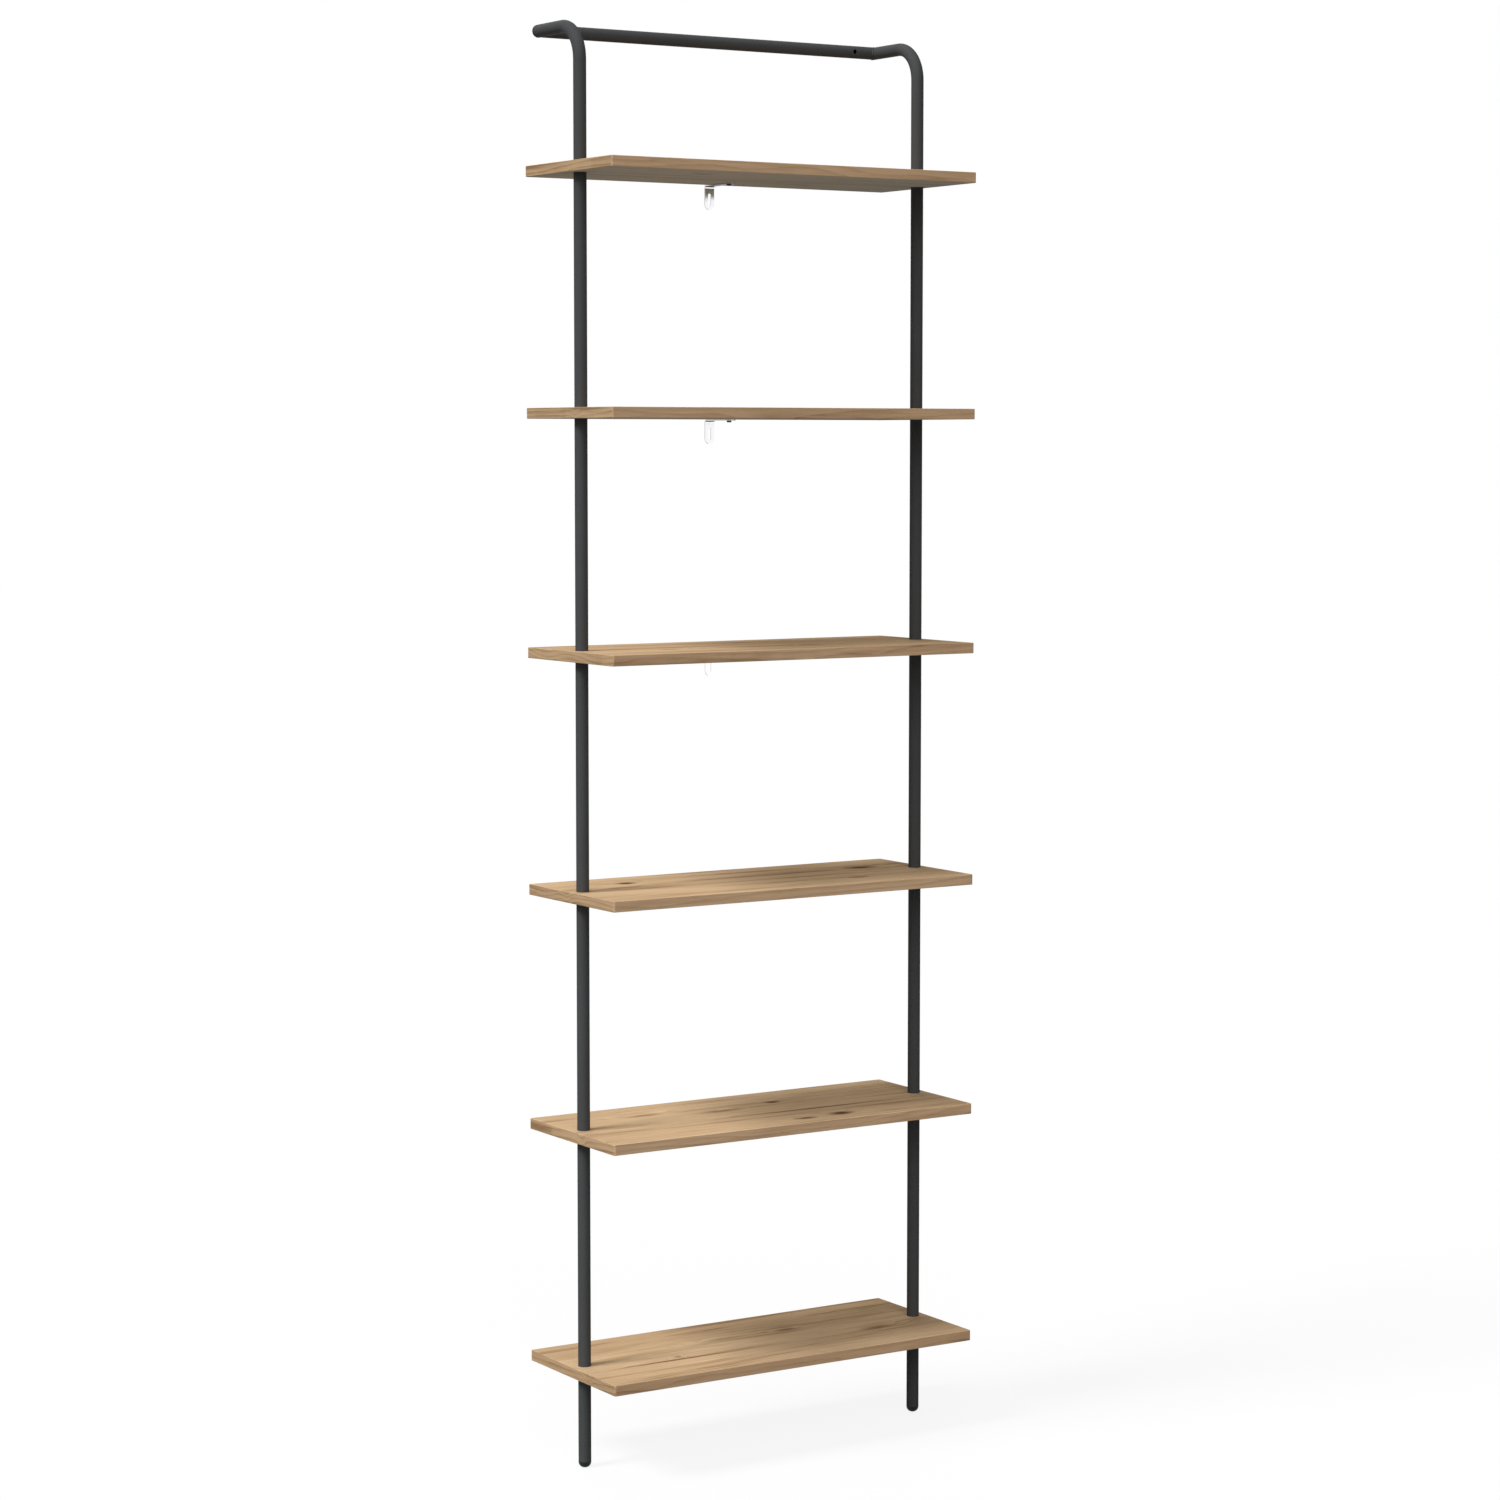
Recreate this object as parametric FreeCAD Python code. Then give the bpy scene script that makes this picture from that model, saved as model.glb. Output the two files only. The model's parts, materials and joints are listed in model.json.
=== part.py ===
import FreeCAD, Part
import math
import os

# Open wall bookcase: boards clamped one above another on two posts of stacked steel tubes.
# The posts end in arms that bend back to a crossbar, which is screwed to the wall.
# Millimetres. Origin on the floor under the middle of the boards, +X to the right seen from
# the front, +Y towards the wall, +Z up. The backs of boards, arms, bar and brackets lie in one
# plane, the wall's.

# Boards
BOARD_COUNT = 6
BOARD_WIDTH = 600.0
BOARD_DEPTH = 240.0
BOARD_THICKNESS = 15.0
BOARD_CORNER_RADIUS = 3.0
BOARD_EDGE_RADIUS = 0.8

# Tubes and posts
TUBE_DIAMETER = 18.0
TUBE_WALL = 1.2
POST_INSET = 20.0            # post axis to the board's end
POST_SETBACK = 120.0         # post axis to the board's front edge
FLOOR_CLEARANCE = 130.0      # floor to the lowest board
BAY_HEIGHT = 320.0           # board to board
ARM_RISE = 186.0             # top board to the axis of arms and crossbar
BEND_RADIUS = 48.0           # at the tube's axis

# Crossbar and its welds
WALL_HOLE_INSET = 40.0       # wall hole to the post axis
WALL_HOLE_DIAMETER = 6.5
WELD_ROOT_GAP = 0.3
WELD_BEAD_RADIUS = 1.5
WELD_SPAN = 110.0            # degrees round the bar, about its front

# Moulded plugs in the open tube ends: a domed head with a flat on its tip and a straight rim
FOOT_FLAT_DIAMETER = 2.0
FOOT_RIM_HEIGHT = 1.0
ARM_FLAT_DIAMETER = 10.0
ARM_RIM_HEIGHT = 1.0
PLUG_STEM_LENGTH = 16.0
PLUG_STEM_WALL = 1.6
PLUG_RIB_COUNT = 4
PLUG_RIB_HEIGHT = 0.6
PLUG_RIB_WIDTH = 1.4

# Threaded inserts in the tube ends, and the studs that pull the tubes together through a board
STUD_DIAMETER = 8.0
STUD_HOLE_CLEARANCE = 0.5    # round the stud, in the board
STUD_ENGAGEMENT = 16.0       # stud inside a tube
STUD_CHAMFER = 0.8
INSERT_LENGTH = 20.0
INSERT_RECESS = 0.5          # insert below the tube's end, so that the tube bears on the board

# Wall brackets under the back edges, and their screws
BRACKET_WIDTH = 15.5
BRACKET_PLATE = 2.0
BRACKET_REACH = 65.0         # wall to the front end of the leg under the board
BRACKET_DROP = 35.0          # board to the lower end of the leg on the wall
BRACKET_BEND_RADIUS = 3.0    # inside
BRACKET_END_RADIUS = 7.5
SLOT_WIDTH = 4.5
SLOT_LENGTH = 17.5
SLOT_TOP = 12.0              # board to the slot
SCREW_MARGIN = 10.0          # screw to the front end of the leg under the board
SCREW_DIAMETER = 3.5
SCREW_HOLE_CLEARANCE = 0.4   # round the screw, in the bracket
SCREW_DEPTH = 10.0           # screw inside the board
SCREW_TIP = 3.0
SCREW_HEAD_DIAMETER = 7.0
SCREW_HEAD_HEIGHT = 2.4
SCREW_HEAD_ROUNDING = 1.2
RECESS_WIDTH = 1.0
RECESS_LENGTH = 4.2
RECESS_DEPTH = 1.3

# Worked out from the above
X_AXIS = FreeCAD.Vector(1, 0, 0)
Y_AXIS = FreeCAD.Vector(0, 1, 0)
Z_AXIS = FreeCAD.Vector(0, 0, 1)
TUBE_RADIUS = TUBE_DIAMETER / 2
BORE_RADIUS = TUBE_RADIUS - TUBE_WALL
STUD_RADIUS = STUD_DIAMETER / 2
SCREW_RADIUS = SCREW_DIAMETER / 2
FRONT_Y = -BOARD_DEPTH / 2
WALL_Y = BOARD_DEPTH / 2
POST_X = BOARD_WIDTH / 2 - POST_INSET
POST_Y = FRONT_Y + POST_SETBACK
BOARD_PITCH = BAY_HEIGHT + BOARD_THICKNESS
BOARD_BOTTOMS = [FLOOR_CLEARANCE + level * BOARD_PITCH for level in range(BOARD_COUNT)]
TOP_Z = BOARD_BOTTOMS[-1] + BOARD_THICKNESS
ARM_Z = TOP_Z + ARM_RISE
FOOT_DOME_RADIUS = TUBE_RADIUS - FOOT_FLAT_DIAMETER / 2
FOOT_HEAD_HEIGHT = FOOT_DOME_RADIUS + FOOT_RIM_HEIGHT
ARM_DOME_RADIUS = TUBE_RADIUS - ARM_FLAT_DIAMETER / 2
ARM_HEAD_HEIGHT = ARM_DOME_RADIUS + ARM_RIM_HEIGHT
ARM_END_Y = WALL_Y - ARM_HEAD_HEIGHT
BAR_Y = WALL_Y - TUBE_RADIUS
WALL_HOLE_X = POST_X - WALL_HOLE_INSET
SCREW_Y = WALL_Y - BRACKET_REACH + SCREW_MARGIN
SIDES = {"left": -1, "right": 1}


def rod(radius, start, axis, length):
    """A solid cylinder from start, along axis."""
    return Part.makeCylinder(radius, length, start, axis)


def tube(start, axis, length):
    """A straight length of the tube."""
    return rod(TUBE_RADIUS, start, axis, length).cut(rod(BORE_RADIUS, start, axis, length))


def block(low, high):
    """A box between two corners."""
    size = high - low
    return Part.makeBox(size.x, size.y, size.z, low)


def revolved(edges):
    """The solid that a closed profile in the XZ plane sweeps about the Z axis."""
    return Part.Face(Part.Wire(edges)).revolve(FreeCAD.Vector(), Z_AXIS, 360)


def polyline(points):
    """Straight edges from point to point in the XZ plane."""
    corners = [FreeCAD.Vector(x, 0, z) for x, z in points]
    return [Part.makeLine(a, b) for a, b in zip(corners, corners[1:])]


def quarter_arc(centre, radius, start_degrees):
    """A quarter circle in the XZ plane, as (start, edge, end)."""
    places = []
    for share in (0, 0.5, 1):
        angle = math.radians(start_degrees + 90 * share)
        places.append(centre + FreeCAD.Vector(radius * math.cos(angle), 0, radius * math.sin(angle)))
    return places[0], Part.Arc(*places).toShape(), places[2]


def board(bottom):
    """A board with eased edges, bored for the studs and piloted for the bracket's screw."""
    half = BOARD_WIDTH / 2
    top = bottom + BOARD_THICKNESS
    body = block(FreeCAD.Vector(-half, FRONT_Y, bottom), FreeCAD.Vector(half, WALL_Y, top))
    upright = [edge for edge in body.Edges if abs(edge.tangentAt(edge.FirstParameter).z) > 0.5]
    body = body.makeFillet(BOARD_CORNER_RADIUS, upright)
    rims = [edge for edge in body.Edges if edge.BoundBox.ZLength < BOARD_EDGE_RADIUS]
    body = body.makeFillet(BOARD_EDGE_RADIUS, rims)
    for side in SIDES.values():
        start = FreeCAD.Vector(side * POST_X, POST_Y, bottom)
        body = body.cut(rod(STUD_RADIUS + STUD_HOLE_CLEARANCE, start, Z_AXIS, BOARD_THICKNESS))
    return body.cut(rod(SCREW_RADIUS, FreeCAD.Vector(0, SCREW_Y, bottom), Z_AXIS, SCREW_DEPTH))


def post_tube(side, bottom, top):
    """A straight post tube, cut square at both ends."""
    return tube(FreeCAD.Vector(side * POST_X, POST_Y, bottom), Z_AXIS, top - bottom)


def bent_rod(x, radius):
    """The solid outline of an arm: up from the top board, round the bend and back to its end."""
    rise = ARM_RISE - BEND_RADIUS
    bend_start = FreeCAD.Vector(x, POST_Y, TOP_Z + rise)
    bend_end = FreeCAD.Vector(x, POST_Y + BEND_RADIUS, ARM_Z)
    upright = rod(radius, FreeCAD.Vector(x, POST_Y, TOP_Z), Z_AXIS, rise)
    section = Part.Face(Part.Wire(Part.makeCircle(radius, bend_start, Z_AXIS)))
    bend_axis = FreeCAD.Vector(x, POST_Y + BEND_RADIUS, TOP_Z + rise)
    bend = section.revolve(bend_axis, -X_AXIS, 90)
    level = rod(radius, bend_end, Y_AXIS, ARM_END_Y - bend_end.y)
    return upright.fuse([bend, level]).removeSplitter()


def arm(side):
    """A bent tube, open at both ends."""
    return bent_rod(side * POST_X, TUBE_RADIUS).cut(bent_rod(side * POST_X, BORE_RADIUS))


def arm_line(x, radius):
    """A rod along the level run of an arm and past both ends of it, used to cope the crossbar."""
    start = FreeCAD.Vector(x, POST_Y, ARM_Z)
    return rod(radius, start, Y_AXIS, 2 * (WALL_Y - POST_Y))


def coped_bar(radius):
    """A rod between the arms, with each end saddled to its arm across the weld's root gap."""
    bar = rod(radius, FreeCAD.Vector(-POST_X, BAR_Y, ARM_Z), X_AXIS, 2 * POST_X)
    for side in SIDES.values():
        bar = bar.cut(arm_line(side * POST_X, TUBE_RADIUS + WELD_ROOT_GAP))
    return bar


def crossbar():
    """The coped bar as a tube, with its wall holes bored through from front to back."""
    bar = coped_bar(TUBE_RADIUS)
    bore = rod(BORE_RADIUS, FreeCAD.Vector(-POST_X, BAR_Y, ARM_Z), X_AXIS, 2 * POST_X)
    bar = bar.cut(bore)
    for side in SIDES.values():
        start = FreeCAD.Vector(side * WALL_HOLE_X, BAR_Y - TUBE_RADIUS, ARM_Z)
        bar = bar.cut(rod(WALL_HOLE_DIAMETER / 2, start, Y_AXIS, TUBE_DIAMETER))
    return bar


def weld_seam(side):
    """The bead in the front of a saddle: a round string along the joint, less the tubes it joins.

    It is made for the right arm about the point where the axes of arm and bar cross.
    """
    furthest = TUBE_RADIUS * FreeCAD.Vector(-1, -1, 0)
    ellipse = Part.Ellipse(furthest, TUBE_RADIUS * Z_AXIS, FreeCAD.Vector())
    reach = math.radians(WELD_SPAN / 2)
    joint = Part.ArcOfEllipse(ellipse, -reach, reach).toShape()
    ends = [joint.valueAt(joint.FirstParameter), joint.valueAt(joint.LastParameter)]
    start_circle = Part.makeCircle(WELD_BEAD_RADIUS, ends[0], joint.tangentAt(joint.FirstParameter))
    bead = Part.Wire([joint]).makePipeShell([Part.Wire(start_circle)], True, False)
    bead = bead.fuse([Part.makeSphere(WELD_BEAD_RADIUS, end) for end in ends]).removeSplitter()
    run = 2 * TUBE_DIAMETER
    arm_run = rod(TUBE_RADIUS, -run * Y_AXIS, Y_AXIS, 2 * run)
    cope = rod(TUBE_RADIUS + WELD_ROOT_GAP, -run * Y_AXIS, Y_AXIS, 2 * run)
    bar_end = rod(TUBE_RADIUS, -run * X_AXIS, X_AXIS, run).cut(cope)
    bead = bead.cut(arm_run).cut(bar_end)
    if side < 0:
        bead = bead.mirror(FreeCAD.Vector(), X_AXIS)
    bead.translate(FreeCAD.Vector(side * POST_X, BAR_Y, ARM_Z))
    return bead


def plug(head_height, dome_radius):
    """A moulded plug: a domed head below the XY plane and a ribbed hollow stem above it."""
    core = BORE_RADIUS - PLUG_RIB_HEIGHT
    hollow = core - PLUG_STEM_WALL
    centre = FreeCAD.Vector(TUBE_RADIUS - dome_radius, 0, dome_radius - head_height)
    start, dome, end = quarter_arc(centre, dome_radius, -90)
    outline = [(end.x, end.z), (TUBE_RADIUS, 0), (core, 0)]
    rib_pitch = PLUG_STEM_LENGTH / (PLUG_RIB_COUNT + 0.5)
    for rib in range(PLUG_RIB_COUNT):
        low = (rib + 0.5) * rib_pitch
        high = low + PLUG_RIB_WIDTH
        outline += [(core, low), (BORE_RADIUS, low), (BORE_RADIUS, high), (core, high)]
    outline += [(core, PLUG_STEM_LENGTH), (hollow, PLUG_STEM_LENGTH), (hollow, 0), (0, 0)]
    outline += [(0, -head_height), (start.x, start.z)]
    return revolved([dome] + polyline(outline))


def foot(side):
    """The plug that closes a post's lower end and stands on the floor."""
    cap = plug(FOOT_HEAD_HEIGHT, FOOT_DOME_RADIUS)
    cap.translate(FreeCAD.Vector(side * POST_X, POST_Y, FOOT_HEAD_HEIGHT))
    return cap


def arm_plug(side):
    """The plug in an arm's rear end, its head against the wall."""
    cap = plug(ARM_HEAD_HEIGHT, ARM_DOME_RADIUS)
    cap.rotate(FreeCAD.Vector(), X_AXIS, 90)
    cap.translate(FreeCAD.Vector(side * POST_X, ARM_END_Y, ARM_Z))
    return cap


def tube_inserts(side):
    """The threaded inserts of one post, one in each tube end that meets a board."""
    inserts = []
    for bottom in BOARD_BOTTOMS:
        below = bottom - INSERT_RECESS - INSERT_LENGTH
        above = bottom + BOARD_THICKNESS + INSERT_RECESS
        for z in (below, above):
            start = FreeCAD.Vector(side * POST_X, POST_Y, z)
            body = rod(BORE_RADIUS, start, Z_AXIS, INSERT_LENGTH)
            inserts.append(body.cut(rod(STUD_RADIUS, start, Z_AXIS, INSERT_LENGTH)))
    return Part.makeCompound(inserts)


def studs(side):
    """The studs of one post, one through each board."""
    length = BOARD_THICKNESS + 2 * STUD_ENGAGEMENT
    bars = []
    for bottom in BOARD_BOTTOMS:
        start = FreeCAD.Vector(side * POST_X, POST_Y, bottom - STUD_ENGAGEMENT)
        bar = rod(STUD_RADIUS, start, Z_AXIS, length)
        ends = [edge for edge in bar.Edges if edge.Closed]
        bars.append(bar.makeChamfer(STUD_CHAMFER, ends))
    return Part.makeCompound(bars)


def bracket(board_bottom):
    """A bent plate: one leg under the board, the other down the wall with a slot for its screw."""
    outside = BRACKET_BEND_RADIUS + BRACKET_PLATE
    front = -BRACKET_REACH
    outer_centre = FreeCAD.Vector(-outside, 0, -outside)
    low, outer, high = quarter_arc(outer_centre, outside, 0)
    inner_low, inner, inner_high = quarter_arc(outer_centre, BRACKET_BEND_RADIUS, 0)
    edges = polyline([(high.x, high.z), (front, 0), (front, -BRACKET_PLATE), (inner_high.x, inner_high.z)])
    edges.append(inner)
    edges += polyline(
        [(inner_low.x, inner_low.z), (-BRACKET_PLATE, -BRACKET_DROP), (0, -BRACKET_DROP), (low.x, low.z)]
    )
    edges.append(outer)
    plate = Part.Face(Part.Wire(edges)).extrude(BRACKET_WIDTH * Y_AXIS)
    corners = [edge for edge in plate.Edges if edge.BoundBox.YLength < BRACKET_PLATE]
    corners = [edge for edge in corners if is_end_corner(edge)]
    plate = plate.makeFillet(min(BRACKET_END_RADIUS, 0.49 * BRACKET_WIDTH), corners)
    plate.translate(-BRACKET_WIDTH / 2 * Y_AXIS)
    plate.rotate(FreeCAD.Vector(), Z_AXIS, 90)
    plate.translate(FreeCAD.Vector(0, WALL_Y, board_bottom))
    start = FreeCAD.Vector(0, SCREW_Y, board_bottom - BRACKET_PLATE)
    screw_hole = rod(SCREW_RADIUS + SCREW_HOLE_CLEARANCE, start, Z_AXIS, BRACKET_PLATE)
    return plate.cut([slot(board_bottom), screw_hole])


def is_end_corner(edge):
    """True for the short edges across the plate at the ends of its two legs."""
    middle = edge.CenterOfMass
    at_front = abs(middle.x + BRACKET_REACH) < BRACKET_PLATE / 4
    at_foot = abs(middle.z + BRACKET_DROP) < BRACKET_PLATE / 4
    across = abs(edge.Length - BRACKET_PLATE) < BRACKET_PLATE / 4
    return across and (at_front or at_foot)


def slot(board_bottom):
    """The solid that cuts a bracket's slot: two rounds and the block between them."""
    radius = SLOT_WIDTH / 2
    front = WALL_Y - BRACKET_PLATE
    high = board_bottom - SLOT_TOP - radius
    low = board_bottom - SLOT_TOP - SLOT_LENGTH + radius
    middle = block(FreeCAD.Vector(-radius, front, low), FreeCAD.Vector(radius, WALL_Y, high))
    rounds = [rod(radius, FreeCAD.Vector(0, front, z), Y_AXIS, BRACKET_PLATE) for z in (low, high)]
    return middle.fuse(rounds).removeSplitter()


def screw():
    """A pan-head wood screw, pointing up, with the seat of its head in the XY plane."""
    head_radius = SCREW_HEAD_DIAMETER / 2
    length = BRACKET_PLATE + SCREW_DEPTH
    centre = FreeCAD.Vector(head_radius - SCREW_HEAD_ROUNDING, 0, SCREW_HEAD_ROUNDING - SCREW_HEAD_HEIGHT)
    start, rounding, end = quarter_arc(centre, SCREW_HEAD_ROUNDING, -90)
    outline = [(end.x, end.z), (head_radius, 0), (SCREW_RADIUS, 0), (SCREW_RADIUS, length - SCREW_TIP)]
    outline += [(0, length), (0, -SCREW_HEAD_HEIGHT), (start.x, start.z)]
    body = revolved([rounding] + polyline(outline))
    across = FreeCAD.Vector(RECESS_LENGTH / 2, RECESS_WIDTH / 2, RECESS_DEPTH)
    bar = block(FreeCAD.Vector(-across.x, -across.y, 0), across)
    bar.translate(-SCREW_HEAD_HEIGHT * Z_AXIS)
    turned = bar.copy()
    turned.rotate(FreeCAD.Vector(), Z_AXIS, 90)
    return body.cut([bar, turned])


def bracket_screws():
    """The screws that hold the brackets to the boards, one for each."""
    placed = []
    for bottom in BOARD_BOTTOMS:
        copy = screw()
        copy.translate(FreeCAD.Vector(0, SCREW_Y, bottom - BRACKET_PLATE))
        placed.append(copy)
    return Part.makeCompound(placed)


def all_pieces():
    """Every piece of the bookcase, by name; boards and brackets count up from the floor."""
    pieces = {}
    for level, bottom in enumerate(BOARD_BOTTOMS, start=1):
        pieces[f"shelf_{level}"] = board(bottom)
        pieces[f"wall_bracket_{level}"] = bracket(bottom)
    for name, side in SIDES.items():
        pieces[f"{name}_foot"] = foot(side)
        pieces[f"{name}_foot_tube"] = post_tube(side, FOOT_HEAD_HEIGHT, FLOOR_CLEARANCE)
        for level, bottom in enumerate(BOARD_BOTTOMS[:-1], start=1):
            low = bottom + BOARD_THICKNESS
            pieces[f"{name}_post_tube_{level}"] = post_tube(side, low, low + BAY_HEIGHT)
        pieces[f"{name}_arm"] = arm(side)
        pieces[f"{name}_arm_plug"] = arm_plug(side)
        pieces[f"{name}_weld_seam"] = weld_seam(side)
        pieces[f"{name}_tube_inserts"] = tube_inserts(side)
        pieces[f"{name}_studs"] = studs(side)
    pieces["crossbar"] = crossbar()
    pieces["bracket_screws"] = bracket_screws()
    return pieces


os.makedirs("parts", exist_ok=True)
for node, shape in all_pieces().items():
    shape.exportStep(f"parts/{node}.step")
    print(node, len(shape.Solids), shape.isValid(), round(shape.Volume, 1))
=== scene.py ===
import bpy
import json
import math
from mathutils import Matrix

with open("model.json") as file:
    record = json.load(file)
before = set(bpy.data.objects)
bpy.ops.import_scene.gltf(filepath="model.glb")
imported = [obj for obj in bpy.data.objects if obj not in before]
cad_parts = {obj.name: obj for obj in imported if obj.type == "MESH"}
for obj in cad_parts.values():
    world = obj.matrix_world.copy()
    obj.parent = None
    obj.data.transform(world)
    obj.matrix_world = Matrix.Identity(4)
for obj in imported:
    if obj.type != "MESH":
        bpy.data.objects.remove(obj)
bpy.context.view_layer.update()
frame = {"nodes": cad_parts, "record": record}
nodes = frame["nodes"]


def tint(red, green, blue):
    """A colour as it looks on screen, 0 to 255, as linear light with full alpha."""
    linear = []
    for level in (red, green, blue):
        share = level / 255
        linear.append(share / 12.92 if share <= 0.04045 else ((share + 0.055) / 1.055) ** 2.4)
    return (*linear, 1.0)


# The boards and the staves that they are glued up from, in metres.
BOARD_PITCH = 0.335
LOWEST_BOARD = 0.1375             # middle of the lowest board's thickness
STAVE_WIDTH = 0.085
FIRST_SEAM = -0.041               # a stave's seam on the lowest board, from its middle
SEAM_STEP = 0.012                 # the seams stand this much further back on each board above
SEAM_EDGE = (0.0003, 0.0016)      # a seam's dark line fades out between these distances
SEAM_PATCHES = (4.0, 2.0, 5.0)    # how often a seam comes and goes, per metre in each direction
STAVE_DRAW = 1.0                  # picks the staves that the boards are made of
STAVE_SHIFT = (7.0, 0.0, 3.0)     # each stave takes its figure from up to this far away, in metres
STAVE_TONE = 0.16                 # the most that one stave is darker than another
END_DRAW = 2.0                    # picks the bands on their ends
END_STAVE_TONE = 0.10             # the same difference of tone on the ends
END_TONE = 0.24                   # how much darker the ends are than the faces

# Knots and dark streaks, one of them partly a painted shadow of the left post: board counted from the
# floor, place along and across it, half length, half width, depth of colour.
MARKS = (
    (1, -0.155, -0.041, 0.130, 0.0045, 0.80),
    (1, -0.143, -0.027, 0.007, 0.0060, 0.60),
    (1, -0.035, 0.026, 0.045, 0.0080, 0.35),
    (1, 0.073, 0.026, 0.026, 0.0080, 0.65),
    (1, 0.193, -0.031, 0.036, 0.0100, 0.60),
    (1, 0.215, 0.040, 0.050, 0.0060, 0.35),
    (2, -0.155, 0.050, 0.038, 0.0100, 0.55),
    (2, -0.040, 0.020, 0.045, 0.0090, 0.55),
    (2, 0.060, 0.044, 0.016, 0.0110, 0.90),
    (2, 0.090, -0.029, 0.180, 0.0065, 0.60),
    (2, 0.033, -0.089, 0.024, 0.0100, 0.85),
    (2, 0.097, -0.083, 0.026, 0.0150, 1.00),
    (3, -0.180, 0.053, 0.021, 0.0130, 1.00),
    # partly a dark streak, partly a painted shadow of the left post
    (3, -0.215, 0.010, 0.045, 0.0070, 0.50),
    (3, 0.210, 0.040, 0.036, 0.0160, 0.95),
    (3, 0.140, -0.058, 0.022, 0.0110, 0.60),
    (3, -0.140, 0.075, 0.120, 0.0320, 0.25),
    (4, -0.160, -0.030, 0.030, 0.0090, 0.55),
    (4, 0.080, -0.033, 0.026, 0.0090, 0.50),
    (4, 0.020, 0.070, 0.024, 0.0080, 0.45),
    (4, -0.080, -0.080, 0.260, 0.0450, 0.28),
    (4, -0.050, 0.075, 0.220, 0.0350, 0.22),
    (5, -0.060, 0.055, 0.020, 0.0110, 0.85),
    (5, 0.150, -0.060, 0.034, 0.0120, 0.70),
    (5, -0.190, -0.020, 0.090, 0.0050, 0.50),
    (6, -0.120, -0.060, 0.022, 0.0120, 0.85),
    (6, 0.110, 0.050, 0.032, 0.0110, 0.70),
    (6, 0.060, 0.000, 0.120, 0.0050, 0.50),
)
MARK_HALF_HEIGHT = 0.03
MARK_WANDER = 0.012               # how far a mark strays sideways along its length, in metres
WANDER_SCALE = (9.0, 3.0, 3.0)    # how often it strays, per metre in each direction
RAGGED_SCALE = (60.0, 260.0, 60.0)
FRAYED_SCALE = (36.0, 1000.0, 60.0)
RAGGED_START = 0.1                # how uneven an outline is at least, and what each unevenness adds
RAGGED_SHARE = 1.2
FRAYED_SHARE = 0.9
HILL_FALL = 0.35                  # how soon the growth rings run straight again beside a mark
HEART_EDGE = (0.20, 1.35)         # squared distances from a mark's middle, in half lengths and widths
CORE_EDGE = (0.06, 0.42)

# Each layer of the oak's figure: how often it varies along and across a board, per metre, and its detail.
FIGURE_LAYERS = {
    "sweep": (1.7, 8.0, 2.0),
    "wobble": (9.0, 70.0, 2.0),
    "streak": (3.4, 48.0, 3.0),
    "fibre": (16.0, 420.0, 2.0),
    "cloud": (2.6, 9.0, 2.0),
    "pores": (42.0, 1200.0, 1.0),
}
RINGS_PER_METRE = 130.0
RING_LEAN = 0.8                   # how far the growth rings lean through a board's thickness
SWEEP_RINGS = 9.0                 # how many rings each bend moves them by
WOBBLE_RINGS = 1.1
HILL_RINGS = 3.2
LINE_SHARPNESS = 3.0              # how late in its width a ring darkens
LINE_TONE = 0.24                  # what each layer adds to the tone
STREAK_TONE = 0.36
FIBRE_TONE = 0.42
CLOUD_TONE = 0.40
PALE_START = 0.14                 # taken off the tone, so that most of the oak is pale
PORES_IN_LINES = 0.7              # share of the pores' strength that the rings' dark lines give
PORE_DEPTH = 0.7                  # the pores' depth against a seam's

# Values that the finishes share, and the oak's colours.
NOISE_ROUGHNESS = 0.55
BROAD_SCALE = 23.0                # broad unevenness of coats and metal, per metre
FLAT_FACING = 0.7                 # a face is turned a way when its normal leans this far towards it
EDGE_FACING = 0.35                # the same for a bracket's cut edges, with their rounding
ROUGHNESS_SPREAD = 0.12           # how much a finish's roughness varies over the surface
OAK_ROUGHNESS = 0.68
PALE_OAK = tint(215, 186, 150)
PLAIN_OAK = tint(192, 162, 127)
DARK_OAK = tint(147, 118, 87)
PAINTED_WARM_LIGHT_LONG_EDGES = tint(254, 248, 247)    # painted warm light: the front and back edges are tinted warmer, as if lit by warmer light
BLACK = tint(0, 0, 0)
WHITE = tint(255, 255, 255)

# The studio. Each lamp: azimuth, elevation and spread in degrees, strength.
LAMPS = {
    "key": (-90.0, 50.0, 20.0, 2.7),
    "fill": (-28.0, 33.0, 60.0, 1.48),
    "back": (165.0, 30.0, 50.0, 0.7),
}
ROOM_LIGHT = 0.15                 # the white room's light on things, where what is seen of it is 1
FLOOR_SIZE = 60.0
FLOOR_BOUNCE = 0.21               # what the floor throws back on things
FLOOR_SHADE = 0.11                # what it shows of the lamps' light and shadow
FLOOR_GLOW = 0.875                # what makes it look white
LENS = 87.85
SENSOR = 36.0
FAR_CLIP = 100.0
CAMERA_PLACE = (-2.7717, -4.3989, 1.4350)
CAMERA_TILT = 4.7805              # degrees down from level
CAMERA_TURN = -32.1623            # degrees from a view along the boards' depth


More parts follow.
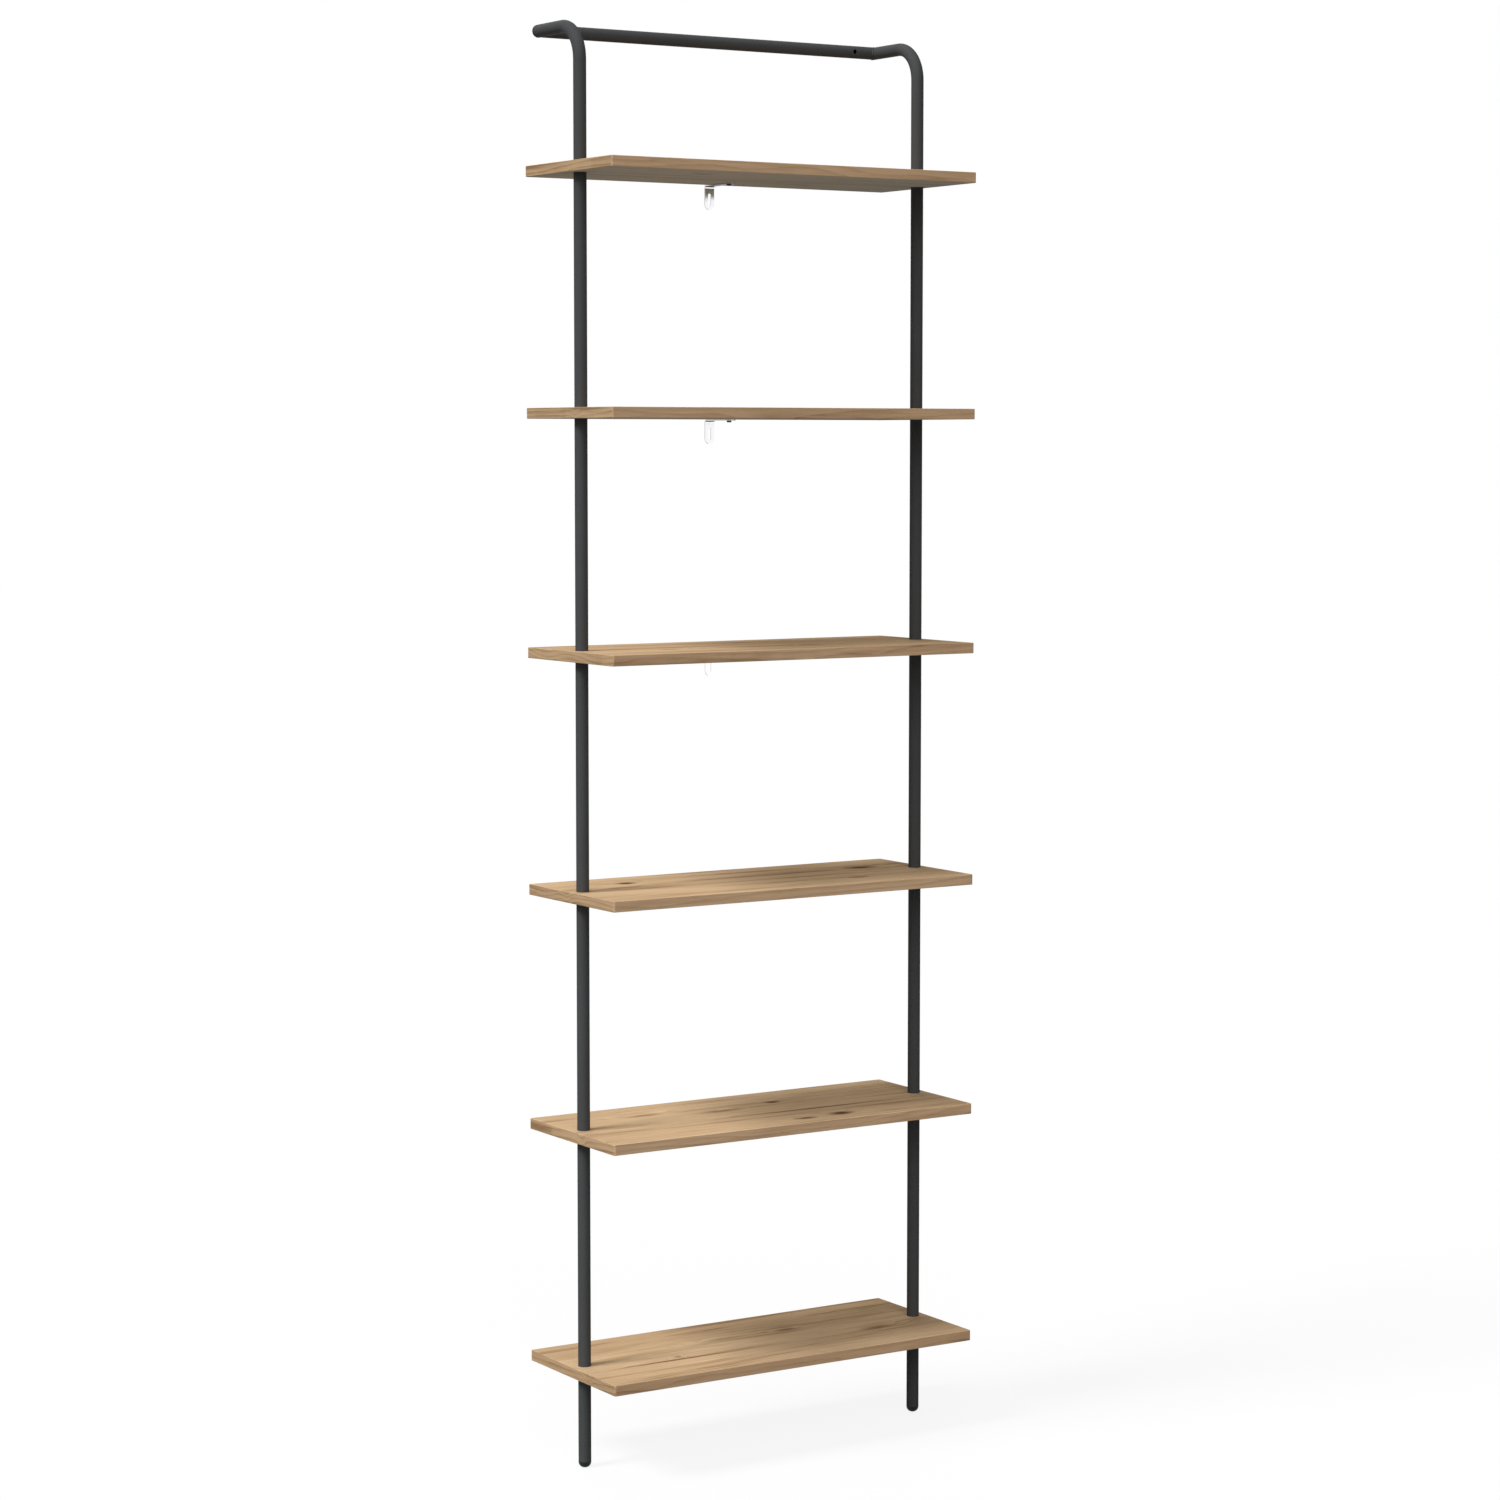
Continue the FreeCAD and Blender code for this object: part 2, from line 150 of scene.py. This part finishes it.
class Wiring:
    """Adds nodes to one tree; an input may be another node's output, a number or a colour."""

    # places of a Mix node's two inputs and its output, for each kind of data
    MIX_SOCKETS = {"VECTOR": (4, 5, 1), "RGBA": (6, 7, 2)}

    def __init__(self, tree):
        self.tree = tree

    def node(self, kind, inputs=None, **settings):
        made = self.tree.nodes.new(kind)
        for key, value in settings.items():
            setattr(made, key, value)
        for key, value in (inputs or {}).items():
            self.feed(made.inputs[key], value)
        return made

    def feed(self, socket, value):
        if isinstance(value, bpy.types.NodeSocket):
            self.tree.links.new(value, socket)
        else:
            socket.default_value = value

    def math(self, operation, *values, clamp=False):
        made = self.node("ShaderNodeMath", operation=operation, use_clamp=clamp)
        for socket, value in zip(made.inputs, values):
            self.feed(socket, value)
        return made.outputs[0]

    def vector(self, operation, *values):
        made = self.node("ShaderNodeVectorMath", operation=operation)
        for socket, value in zip(made.inputs, values):
            self.feed(socket, value)
        return made.outputs["Value" if operation == "DOT_PRODUCT" else "Vector"]

    def parts(self, vector):
        return self.node("ShaderNodeSeparateXYZ", {"Vector": vector}).outputs

    def joined(self, **parts):
        return self.node("ShaderNodeCombineXYZ", parts).outputs[0]

    def blended(self, first, second, share):
        """A share of the first value and the rest of the second."""
        return self.math("MULTIPLY_ADD", first, share, self.math("MULTIPLY", second, 1.0 - share))

    def facing(self):
        """The parts of the surface's normal."""
        return self.parts(self.node("ShaderNodeNewGeometry").outputs["Normal"])

    def noise(self, place, scale, detail=3.0):
        """Noise over a place stretched by a scale of its own in each direction."""
        stretched = self.vector("MULTIPLY", place, scale)
        made = self.node("ShaderNodeTexNoise", {"Vector": stretched, "Scale": 1.0, "Detail": detail,
                                                "Roughness": NOISE_ROUGHNESS})
        return made.outputs["Fac"]

    def ramp(self, value, low, high):
        """0 below low, 1 above high and smooth between."""
        made = self.node("ShaderNodeMapRange", {"Value": value, "From Min": low, "From Max": high},
                         interpolation_type="SMOOTHSTEP")
        return made.outputs["Result"]

    def fall(self, value, low, high):
        """1 below low, 0 above high and smooth between."""
        return self.math("SUBTRACT", 1.0, self.ramp(value, low, high))

    def mix(self, share, first, second, kind="RGBA", blend="MIX"):
        made = self.node("ShaderNodeMix", data_type=kind, blend_type=blend)
        from_first, from_second, result = self.MIX_SOCKETS[kind]
        self.feed(made.inputs["Factor"], share)
        self.feed(made.inputs[from_first], first)
        self.feed(made.inputs[from_second], second)
        return made.outputs[result]

    def group(self, tree, inputs):
        return self.node("ShaderNodeGroup", inputs, node_tree=tree).outputs

    def relief(self, shader, height, strength, distance):
        """Gives a shader fine relief as deep as a distance in metres."""
        bump = self.node("ShaderNodeBump", {"Height": height, "Strength": strength, "Distance": distance})
        self.feed(shader.inputs["Normal"], bump.outputs["Normal"])


def shared_effect(name, inputs, outputs):
    """An empty node group with named sockets, as (wiring, its inputs, its outputs)."""
    tree = bpy.data.node_groups.new(name, "ShaderNodeTree")
    for label, kind in inputs:
        tree.interface.new_socket(label, in_out="INPUT", socket_type=kind)
    for label, kind in outputs:
        tree.interface.new_socket(label, in_out="OUTPUT", socket_type=kind)
    wiring = Wiring(tree)
    return wiring, wiring.node("NodeGroupInput").outputs, wiring.node("NodeGroupOutput").inputs


def finish_named(name):
    """A new material, as (material, wiring, its shader, object coordinates)."""
    material = bpy.data.materials.new(name)
    material.use_nodes = True
    wiring = Wiring(material.node_tree)
    shader = material.node_tree.nodes["Principled BSDF"]
    place = wiring.node("ShaderNodeTexCoord").outputs["Object"]
    return material, wiring, shader, place


def mark_effect():
    """One knot or streak: the hill that it makes in the growth rings, its brown heart and dark core."""
    w, given, result = shared_effect(
        "oak_mark",
        [("Place", "NodeSocketVector"), ("Centre", "NodeSocketVector"), ("Reach", "NodeSocketVector"),
         ("Ragged", "NodeSocketFloat")],
        [("Hill", "NodeSocketFloat"), ("Heart", "NodeSocketFloat"), ("Core", "NodeSocketFloat")],
    )
    offset = w.vector("DIVIDE", w.vector("SUBTRACT", given["Place"], given["Centre"]), given["Reach"])
    squared = w.vector("DOT_PRODUCT", offset, offset)
    uneven = w.math("MULTIPLY", squared, given["Ragged"])
    w.feed(result["Hill"], w.math("EXPONENT", w.math("MULTIPLY", squared, -HILL_FALL)))
    w.feed(result["Heart"], w.fall(uneven, *HEART_EDGE))
    w.feed(result["Core"], w.fall(uneven, *CORE_EDGE))
    return w.tree


def figure_effect():
    """The oak's figure along the first axis: growth rings, darker streaks, fibre and pores."""
    w, given, result = shared_effect(
        "oak_figure",
        [("Place", "NodeSocketVector"), ("Hills", "NodeSocketFloat")],
        [("Tone", "NodeSocketFloat"), ("Pores", "NodeSocketFloat")],
    )
    layer = {}
    for name, (along, across, detail) in FIGURE_LAYERS.items():
        layer[name] = w.noise(given["Place"], (along, across, across), detail)
    parts = w.parts(given["Place"])
    depth = w.math("ADD", parts["Y"], w.math("MULTIPLY", parts["Z"], RING_LEAN))
    rings = w.math("MULTIPLY", depth, RINGS_PER_METRE)
    for bend, moved in ((layer["sweep"], SWEEP_RINGS), (layer["wobble"], WOBBLE_RINGS),
                        (given["Hills"], HILL_RINGS)):
        rings = w.math("MULTIPLY_ADD", bend, moved, rings)
    line = w.math("POWER", w.math("FRACT", rings), LINE_SHARPNESS)
    streak = w.ramp(layer["streak"], low=0.48, high=0.70)
    tone = w.math("MULTIPLY", line, LINE_TONE)
    for part, share in ((streak, STREAK_TONE), (layer["fibre"], FIBRE_TONE),
                        (layer["cloud"], CLOUD_TONE)):
        tone = w.math("MULTIPLY_ADD", part, share, tone)
    w.feed(result["Tone"], w.math("SUBTRACT", tone, PALE_START))
    dashes = w.ramp(layer["pores"], low=0.60, high=0.72)
    in_lines = w.math("MULTIPLY_ADD", line, PORES_IN_LINES, 1.0 - PORES_IN_LINES)
    w.feed(result["Pores"], w.math("MULTIPLY", dashes, in_lines))
    return w.tree


def speckle_effect():
    """A fine surface: broad and fine unevenness of a given grain size, in metres."""
    w, given, result = shared_effect(
        "fine_speckle",
        [("Place", "NodeSocketVector"), ("Grain", "NodeSocketFloat")],
        [("Broad", "NodeSocketFloat"), ("Fine", "NodeSocketFloat")],
    )
    scale = w.math("DIVIDE", 1.0, given["Grain"])
    fine = w.node("ShaderNodeTexNoise", {"Vector": given["Place"], "Scale": scale, "Detail": 2.0})
    broad = w.node("ShaderNodeTexNoise", {"Vector": given["Place"], "Scale": BROAD_SCALE, "Detail": 3.0})
    w.feed(result["Fine"], fine.outputs["Fac"])
    w.feed(result["Broad"], broad.outputs["Fac"])
    return w.tree


def oak_marks(w, place):
    """All knots and streaks, as (hills in the growth rings, brown hearts, dark cores)."""
    stray = w.math("SUBTRACT", w.noise(place, WANDER_SCALE), 0.5)
    drawn = w.vector("ADD", place, w.joined(Y=w.math("MULTIPLY", stray, MARK_WANDER)))
    ragged = w.math("MULTIPLY_ADD", w.noise(place, RAGGED_SCALE), RAGGED_SHARE, RAGGED_START)
    ragged = w.math("MULTIPLY_ADD", w.noise(place, FRAYED_SCALE), FRAYED_SHARE, ragged)
    mark = mark_effect()
    hills = 0.0
    hearts = 0.0
    cores = 0.0
    for board, along, across, half_length, half_width, depth in MARKS:
        one = w.group(mark, {
            "Place": drawn,
            "Centre": (along, across, LOWEST_BOARD + (board - 1) * BOARD_PITCH),
            "Reach": (half_length, half_width, MARK_HALF_HEIGHT),
            "Ragged": ragged,
        })
        hills = w.math("ADD", one["Hill"], hills)
        hearts = w.math("MULTIPLY_ADD", one["Heart"], depth, hearts)
        cores = w.math("MULTIPLY_ADD", one["Core"], depth ** 2, cores)
    return hills, hearts, cores


def oak_finish():
    """Matt light oak: staves glued side by side with lengthwise grain, marks and banded ends."""
    material, w, shader, place = finish_named("light_oak")
    normal = w.facing()
    on_end = w.math("GREATER_THAN", w.math("ABSOLUTE", normal["X"]), FLAT_FACING)
    on_long_edge = w.math("GREATER_THAN", w.math("ABSOLUTE", normal["Y"]), FLAT_FACING)
    # undersides, which are given painted bounce light and sheen
    painted_light_underside = w.math("LESS_THAN", normal["Z"], -FLAT_FACING)
    parts = w.parts(place)
    level = w.math("FLOOR", w.math("DIVIDE", parts["Z"], BOARD_PITCH))
    first_seam = w.math("MULTIPLY_ADD", level, SEAM_STEP, FIRST_SEAM)
    staves = w.math("DIVIDE", w.math("SUBTRACT", parts["Y"], first_seam), STAVE_WIDTH)
    from_seam = w.math("MULTIPLY", w.math("PINGPONG", staves, 0.5), STAVE_WIDTH)

    key = w.joined(X=w.math("FLOOR", staves), Y=level, Z=on_end)
    chance = w.node("ShaderNodeTexWhiteNoise", {"Vector": key, "W": STAVE_DRAW},
                    noise_dimensions="4D").outputs
    along_board = w.vector("MULTIPLY_ADD", chance["Color"], STAVE_SHIFT, place)
    turned = w.joined(X=parts["Y"], Y=parts["Z"], Z=parts["X"])
    along_end = w.vector("ADD", turned, (0.0, 0.0, END_DRAW))
    lengthwise = w.mix(on_end, along_board, along_end, kind="VECTOR")
    hills, hearts, cores = oak_marks(w, place)
    figure = w.group(figure_effect(), {"Place": lengthwise, "Hills": hills})

    seam = w.fall(from_seam, *SEAM_EDGE)
    seam = w.math("MULTIPLY", seam, w.ramp(w.noise(place, SEAM_PATCHES), low=0.40, high=0.62))
    seam = w.math("MULTIPLY", seam, w.math("SUBTRACT", 1.0, on_end))
    stave_tone = w.math("MULTIPLY_ADD", on_end, END_STAVE_TONE - STAVE_TONE, STAVE_TONE)
    tone = w.math("ADD", figure["Tone"], w.math("MULTIPLY", chance["Value"], stave_tone))
    tone = w.math("MULTIPLY_ADD", on_end, END_TONE, tone)

    colour = w.mix(w.ramp(tone, low=0.10, high=0.50), PALE_OAK, PLAIN_OAK)
    colour = w.mix(w.ramp(tone, low=0.45, high=0.95), colour, DARK_OAK)
    for layer, share, stain_and_painted_light in (
        (figure["Pores"], 0.45, tint(120, 94, 69)),
        (seam, 0.55, tint(112, 86, 61)),
        (hearts, 0.72, tint(118, 88, 61)),
        (cores, 0.90, tint(66, 47, 33)),
        # painted bounce light and sheen: the undersides turn paler and greyer
        (painted_light_underside, 0.45, tint(200, 215, 213)),
    ):
        colour = w.mix(w.math("MULTIPLY", layer, share, clamp=True), colour, stain_and_painted_light)
    # painted warm light on the front and back edges
    colour = w.mix(on_long_edge, colour, PAINTED_WARM_LIGHT_LONG_EDGES, blend="MULTIPLY")
    w.feed(shader.inputs["Base Color"], colour)
    w.feed(shader.inputs["Roughness"], w.math("MULTIPLY_ADD", tone, ROUGHNESS_SPREAD, OAK_ROUGHNESS))
    shader.inputs["Specular IOR Level"].default_value = 0.0
    depth = w.math("MULTIPLY_ADD", figure["Pores"], -PORE_DEPTH, w.math("MULTIPLY", seam, -1.0))
    w.relief(shader, depth, strength=0.25, distance=0.0003)
    return material


def coated_finish(name, speckle, dark, pale, sheen, roughness, grain, relief):
    """A dark coat or moulding with a fine speckled surface."""
    material, w, shader, place = finish_named(name)
    uneven = w.group(speckle, {"Place": place, "Grain": grain})
    share = w.blended(uneven["Broad"], uneven["Fine"], share=0.6)
    smoothest = roughness - ROUGHNESS_SPREAD / 2
    varied = w.math("MULTIPLY_ADD", uneven["Broad"], ROUGHNESS_SPREAD, smoothest)
    w.feed(shader.inputs["Base Color"], w.mix(share, dark, pale))
    w.feed(shader.inputs["Roughness"], varied)
    shader.inputs["Specular IOR Level"].default_value = sheen
    w.relief(shader, uneven["Fine"], strength=0.3, distance=relief)
    return material


def metal_finish(name, speckle, bright, dull, roughness, grain, drawn, painted_shade=None):
    """Bare or plated metal with faint drawn lines along one direction and dull patches.

    Where a painted shade colour is given, cut edges and lower faces take it as painted shade, and flat
    angles reflect little."""
    material, w, shader, place = finish_named(name)
    uneven = w.group(speckle, {"Place": place, "Grain": grain})
    lines = w.noise(place, drawn, detail=1.0)
    share = w.blended(uneven["Broad"], lines, share=0.5)
    smoothest = roughness - ROUGHNESS_SPREAD / 2
    varied = w.math("MULTIPLY_ADD", share, ROUGHNESS_SPREAD, smoothest)
    colour = w.mix(share, bright, dull)
    if painted_shade:
        normal = w.facing()
        on_edge = w.math("GREATER_THAN", w.math("ABSOLUTE", normal["X"]), EDGE_FACING)
        below = w.math("LESS_THAN", normal["Z"], -FLAT_FACING)
        # painted shade: cut edges and lower faces darker than the plating
        colour = w.mix(w.math("MAXIMUM", on_edge, below), colour, painted_shade)
        shader.inputs["Specular Tint"].default_value = BLACK
    w.feed(shader.inputs["Base Color"], colour)
    w.feed(shader.inputs["Roughness"], varied)
    shader.inputs["Metallic"].default_value = 1.0
    w.relief(shader, lines, strength=0.15, distance=0.00005)
    return material


def dress_the_nodes():
    """Gives every CAD node the finish of its material slot."""
    speckle = speckle_effect()
    finishes = {
        "oak_board": oak_finish(),
        "black_tube": coated_finish(
            "black_powder_coat", speckle, dark=tint(67, 68, 69), pale=tint(77, 78, 79),
            sheen=0.01, roughness=0.55, grain=0.0006, relief=0.00006),
        "black_weld": coated_finish(
            "coated_weld", speckle, dark=tint(64, 65, 66), pale=tint(77, 78, 79),
            sheen=0.02, roughness=0.55, grain=0.0018, relief=0.0002),
        "black_foot": coated_finish(
            "foot_plastic", speckle, dark=tint(30, 30, 31), pale=tint(38, 38, 39),
            sheen=0.12, roughness=0.45, grain=0.0008, relief=0.00004),
        "black_plug": coated_finish(
            "plug_plastic", speckle, dark=tint(28, 28, 29), pale=tint(34, 34, 35),
            sheen=0.0, roughness=0.22, grain=0.0010, relief=0.00002),
        "plain_steel": metal_finish(
            "turned_steel", speckle, bright=tint(190, 190, 192), dull=tint(150, 150, 154),
            roughness=0.35, grain=0.0005, drawn=(900.0, 900.0, 40.0)),
        "plated_bracket": metal_finish(
            "bright_plating", speckle, bright=tint(252, 252, 253), dull=tint(242, 243, 245),
            # painted shade on the bracket's cut edges and lower faces
            roughness=0.08, grain=0.0012, drawn=(700.0, 30.0, 30.0), painted_shade=tint(218, 218, 217)),
        "dark_screw": metal_finish(
            "dark_plating", speckle, bright=tint(70, 68, 66), dull=tint(48, 47, 46),
            roughness=0.34, grain=0.0006, drawn=(600.0, 600.0, 60.0)),
    }
    for part in frame["record"]["subparts"]:
        slots = nodes[part["node"]].data.materials
        slots.clear()
        slots.append(finishes[part["material_slot"]])


def seen_directly(w):
    """1 for what the camera sees, straight or in metal or glass, and 0 for light on things."""
    path = w.node("ShaderNodeLightPath").outputs
    seen = w.math("MAXIMUM", path["Is Camera Ray"], path["Is Glossy Ray"])
    return w.math("MAXIMUM", seen, path["Is Transmission Ray"])


def white_floor():
    """A wide pale floor that reads as white and still takes the shadow."""
    bpy.ops.object.select_all(action="DESELECT")
    bpy.ops.mesh.primitive_plane_add(size=FLOOR_SIZE, location=(0.0, 0.0, 0.0))
    floor = bpy.context.object
    floor.name = "floor"
    material = bpy.data.materials.new("white_floor")
    material.use_nodes = True
    material.node_tree.nodes.clear()
    w = Wiring(material.node_tree)
    to_camera = w.node("ShaderNodeLightPath").outputs["Is Camera Ray"]
    grey = w.math("MULTIPLY_ADD", to_camera, FLOOR_SHADE - FLOOR_BOUNCE, FLOOR_BOUNCE)
    lit = w.node("ShaderNodeBsdfDiffuse", {"Color": grey})
    glow = w.node("ShaderNodeEmission", {"Strength": w.math("MULTIPLY", seen_directly(w), FLOOR_GLOW)})
    both = w.node("ShaderNodeAddShader")
    w.feed(both.inputs[0], lit.outputs[0])
    w.feed(both.inputs[1], glow.outputs[0])
    w.node("ShaderNodeOutputMaterial", {"Surface": both.outputs[0]})
    floor.data.materials.append(material)


def studio_light():
    """A key from the left, a broad fill from the left front, a weak light from behind, a pale world."""
    for name, (azimuth, elevation, spread, strength) in LAMPS.items():
        data = bpy.data.lights.new(name, "SUN")
        data.energy = strength
        data.angle = math.radians(spread)
        lamp = bpy.data.objects.new(name, data)
        lamp.rotation_euler = (math.radians(90.0 - elevation), 0.0, math.radians(azimuth))
        bpy.context.scene.collection.objects.link(lamp)
    world = bpy.data.worlds.new("white_room")
    bpy.context.scene.world = world
    world.use_nodes = True
    w = Wiring(world.node_tree)
    level = w.math("MULTIPLY_ADD", seen_directly(w), 1.0 - ROOM_LIGHT, ROOM_LIGHT)
    room = world.node_tree.nodes["Background"]
    room.inputs["Color"].default_value = WHITE
    w.feed(room.inputs["Strength"], level)


def photo_camera():
    """A camera where the photograph was taken from: left of the front, at chest height."""
    data = bpy.data.cameras.new("camera")
    data.sensor_width = SENSOR
    data.lens = LENS
    data.clip_end = FAR_CLIP
    camera = bpy.data.objects.new("camera", data)
    camera.location = CAMERA_PLACE
    camera.rotation_euler = (math.radians(90.0 - CAMERA_TILT), 0.0, math.radians(CAMERA_TURN))
    bpy.context.scene.collection.objects.link(camera)
    bpy.context.scene.camera = camera


dress_the_nodes()
white_floor()
studio_light()
photo_camera()
bpy.context.scene.view_settings.view_transform = "Standard"
